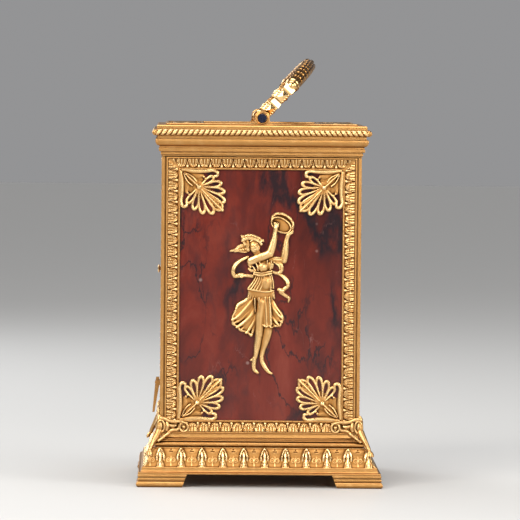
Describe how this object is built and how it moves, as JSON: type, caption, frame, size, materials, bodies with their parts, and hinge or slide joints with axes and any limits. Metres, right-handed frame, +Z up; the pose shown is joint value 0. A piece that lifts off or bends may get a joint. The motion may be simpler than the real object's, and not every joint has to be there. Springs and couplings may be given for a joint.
{
  "type": "carriage clock",
  "caption": "Gilt carriage clock with marble sides, a hinged carrying handle, a glazed rear door, a convex dial glass and a platform escapement under a top glass.",
  "frame": {"origin": "middle of the base, on the surface the feet stand on", "axes": "+Z up, the dial faces -Y, +X to the right of someone reading the dial"},
  "size_m": [0.1284, 0.1184, 0.2061],
  "materials": {
    "gilt": "fire gilt, matted relief with burnished edges",
    "marble": "polished red veined marble",
    "glass": "clear polished glass",
    "enamel": "white vitreous enamel",
    "blued_steel": "heat blued and polished",
    "steel": "polished steel",
    "movement_brass": "grained and lacquered brass"
  },
  "bodies": {
    "case": {"back_frame": "gilt", "balance_cock": "movement_brass", "balance_spring": "blued_steel", "base_moulding": "gilt", "base_plate": "movement_brass", "bead_moulding": "gilt", "bracket_feet": "gilt", "corner_posts": "gilt", "cornice": "gilt", "dial": "enamel", "dial_bezel": "gilt", "dial_glass": "glass", "door_hinge_pins": "steel", "figure_left": "gilt", "figure_right": "gilt", "front_frame": "gilt", "front_panel": "marble", "handle_ears": "gilt", "handle_screws": "blued_steel", "leaf_moulding": "gilt", "movement_pillars": "movement_brass", "movement_plate_back": "movement_brass", "movement_plate_front": "movement_brass", "palmettes_front": "gilt", "palmettes_left": "gilt", "palmettes_right": "gilt", "paw_mount_back_left": "gilt", "paw_mount_back_right": "gilt", "paw_mount_front_left": "gilt", "paw_mount_front_right": "gilt", "platform": "movement_brass", "side_frame_left": "gilt", "side_frame_right": "gilt", "side_panel_left": "marble", "side_panel_right": "marble", "step_moulding": "gilt", "top_border": "gilt", "top_glass": "glass", "top_plate": "gilt"},
    "handle": {"handle": "gilt"},
    "door": {"door_frame": "gilt", "door_glass": "glass", "door_knob": "gilt", "latch_bracket": "gilt"},
    "latch": {"latch_lever": "gilt"},
    "centre": {"centre_wheel": "movement_brass", "cannon_pinion": "steel", "minute_hand": "blued_steel"},
    "hour": {"hour_wheel": "movement_brass", "hour_hand": "blued_steel"},
    "minute_wheel": {"minute_wheel": "movement_brass"},
    "barrel": {"barrel": "movement_brass", "mainspring": "blued_steel"},
    "third": {"third_wheel": "movement_brass"},
    "contrate": {"contrate_wheel": "movement_brass"},
    "escape": {"escape_wheel": "movement_brass"},
    "winding": {"winding_arbor": "steel"},
    "click": {"click": "blued_steel"},
    "lever": {"pallet_lever": "steel"},
    "balance": {"balance": "movement_brass"}
  },
  "joints": [
    {"name": "handle_swing", "type": "hinge", "parent": "case", "child": "handle", "pos_m": [0, 0, 0.1771], "axis": [1, 0, 0], "range_deg": [-125, 41]},
    {"name": "door_swing", "type": "hinge", "parent": "case", "child": "door", "pos_m": [0.0423, 0.0465, 0.095], "axis": [0, 0, 1], "range_deg": [-95, 0]},
    {"name": "latch_press", "type": "hinge", "parent": "door", "child": "latch", "pos_m": [-0.0398, 0.0494, 0.049], "axis": [1, 0, 0], "range_deg": [-9, 0], "stiffness_Nm_per_rad": 0.02, "springref_deg": 8.59},
    {"name": "hands_turn", "type": "hinge", "parent": "case", "child": "centre", "pos_m": [0, -0.02, 0.1056], "axis": [0, 1, 0], "continuous": true},
    {"name": "hour_turn", "type": "hinge", "parent": "case", "child": "hour", "pos_m": [0, -0.03, 0.1056], "axis": [0, 1, 0], "continuous": true},
    {"name": "minute_wheel_turn", "type": "hinge", "parent": "case", "child": "minute_wheel", "pos_m": [0.0084, -0.03, 0.1056], "axis": [0, 1, 0], "continuous": true},
    {"name": "barrel_turn", "type": "hinge", "parent": "case", "child": "barrel", "pos_m": [0, 0, 0.0792], "axis": [0, 1, 0], "continuous": true},
    {"name": "third_turn", "type": "hinge", "parent": "case", "child": "third", "pos_m": [-0.01336, 0, 0.11896], "axis": [0, 1, 0], "continuous": true},
    {"name": "contrate_turn", "type": "hinge", "parent": "case", "child": "contrate", "pos_m": [0, 0, 0.12803], "axis": [0, 1, 0], "continuous": true},
    {"name": "escape_turn", "type": "hinge", "parent": "case", "child": "escape", "pos_m": [0, 0.0007, 0.142], "axis": [0, 0, 1], "continuous": true},
    {"name": "winding_turn", "type": "hinge", "parent": "case", "child": "winding", "pos_m": [0, 0.01, 0.0792], "axis": [0, 1, 0], "continuous": true},
    {"name": "click_lift", "type": "hinge", "parent": "case", "child": "click", "pos_m": [0.015, 0.014, 0.0947], "axis": [0, 1, 0], "range_deg": [0, 16], "stiffness_Nm_per_rad": 0.001, "springref_deg": -11.46},
    {"name": "lever_rock", "type": "hinge", "parent": "case", "child": "lever", "pos_m": [0, -0.0067, 0.143], "axis": [0, 0, 1], "range_deg": [-3, 3]},
    {"name": "balance_swing", "type": "hinge", "parent": "case", "child": "balance", "pos_m": [0, -0.0143, 0.146], "axis": [0, 0, 1], "range_deg": [-135, 135], "stiffness_Nm_per_rad": 0.000005}
  ],
  "couplings": [
    {"joint": "hour_turn", "follows": "hands_turn", "ratio": 0.083333},
    {"joint": "minute_wheel_turn", "follows": "hands_turn", "ratio": -0.33333},
    {"joint": "barrel_turn", "follows": "hands_turn", "ratio": -0.14286},
    {"joint": "third_turn", "follows": "hands_turn", "ratio": -8},
    {"joint": "contrate_turn", "follows": "hands_turn", "ratio": 60},
    {"joint": "escape_turn", "follows": "hands_turn", "ratio": 600}
  ]
}
